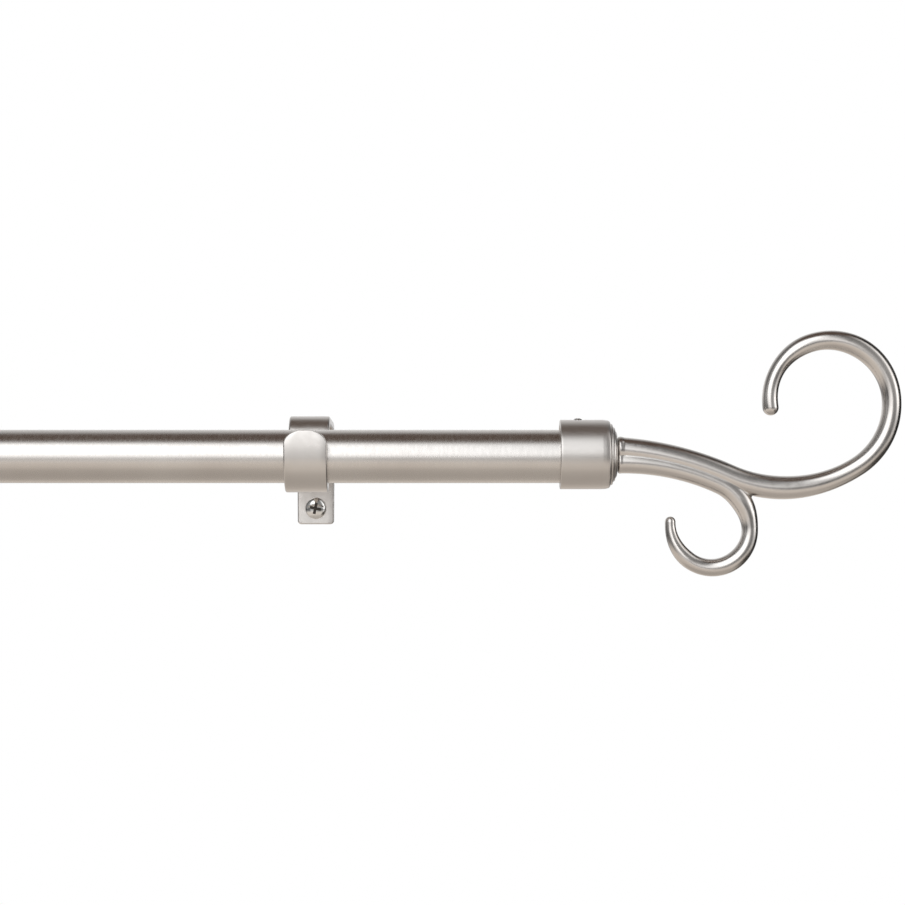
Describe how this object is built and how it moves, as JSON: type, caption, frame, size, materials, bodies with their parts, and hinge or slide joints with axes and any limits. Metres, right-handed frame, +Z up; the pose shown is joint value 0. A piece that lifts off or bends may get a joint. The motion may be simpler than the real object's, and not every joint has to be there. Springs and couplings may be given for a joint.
{
  "type": "curtain rod with brackets",
  "caption": "Telescoping satin-metal curtain rod resting in strap wall brackets, with a double scroll finial clamped on each end.",
  "frame": {"origin": "where the right bracket's screw enters the wall, on the wall's surface", "axes": "+X along the rod to the right as seen from the room, +Y into the wall, +Z up"},
  "size_m": [0.9264, 0.1048, 0.0876],
  "materials": {
    "rod": "satin nickel",
    "finial": "satin nickel, cast and polished",
    "bracket": "satin nickel, fine cast grain",
    "bright_screw": "polished",
    "plastic": "moulded nylon"
  },
  "bodies": {
    "right_bracket": {"right_bracket": "bracket", "right_wall_screw": "bright_screw"},
    "left_bracket": {"left_bracket": "bracket", "left_wall_screw": "bright_screw"},
    "outer_rod": {"outer_tube": "rod", "mouth_ring": "plastic"},
    "inner_rod": {"inner_tube": "rod", "slide_bush": "plastic", "end_sleeve": "plastic"},
    "right_finial": {"right_finial_cap": "rod", "right_finial_washer": "bright_screw"},
    "right_scroll": {"right_finial_scroll": "finial", "right_finial_bolt": "bright_screw"},
    "right_set_screw": {"right_set_screw": "bright_screw"},
    "left_finial": {"left_finial_cap": "rod", "left_finial_washer": "bright_screw"},
    "left_scroll": {"left_finial_scroll": "finial", "left_finial_bolt": "bright_screw"},
    "left_set_screw": {"left_set_screw": "bright_screw"}
  },
  "joints": [
    {"name": "rod_lift", "type": "slide", "parent": "right_bracket", "child": "outer_rod", "axis": [0, 0, 1], "range_m": [0, 0.03]},
    {"name": "rod_extend", "type": "slide", "parent": "outer_rod", "child": "inner_rod", "axis": [-1, 0, 0], "range_m": [0, 0.508]},
    {"name": "left_bracket_place", "type": "slide", "parent": "right_bracket", "child": "left_bracket", "axis": [-1, 0, 0], "range_m": [0, 0.508]},
    {"name": "right_finial_pull", "type": "slide", "parent": "outer_rod", "child": "right_finial", "axis": [1, 0, 0], "range_m": [0, 0.02]},
    {"name": "left_finial_pull", "type": "slide", "parent": "inner_rod", "child": "left_finial", "axis": [-1, 0, 0], "range_m": [0, 0.02]},
    {"name": "right_scroll_turn", "type": "hinge", "parent": "right_finial", "child": "right_scroll", "pos_m": [0.1103, -0.06, 0.0204], "axis": [1, 0, 0], "continuous": true},
    {"name": "left_scroll_turn", "type": "hinge", "parent": "left_finial", "child": "left_scroll", "pos_m": [-0.6133, -0.06, 0.0204], "axis": [-1, 0, 0], "continuous": true},
    {"name": "right_set_screw_out", "type": "slide", "parent": "right_finial", "child": "right_set_screw", "axis": [0, 0, 1], "range_m": [0, 0.002]},
    {"name": "left_set_screw_out", "type": "slide", "parent": "left_finial", "child": "left_set_screw", "axis": [0, 0, 1], "range_m": [0, 0.002]}
  ],
  "couplings": [
    {"joint": "left_bracket_place", "follows": "rod_extend", "ratio": 1}
  ]
}
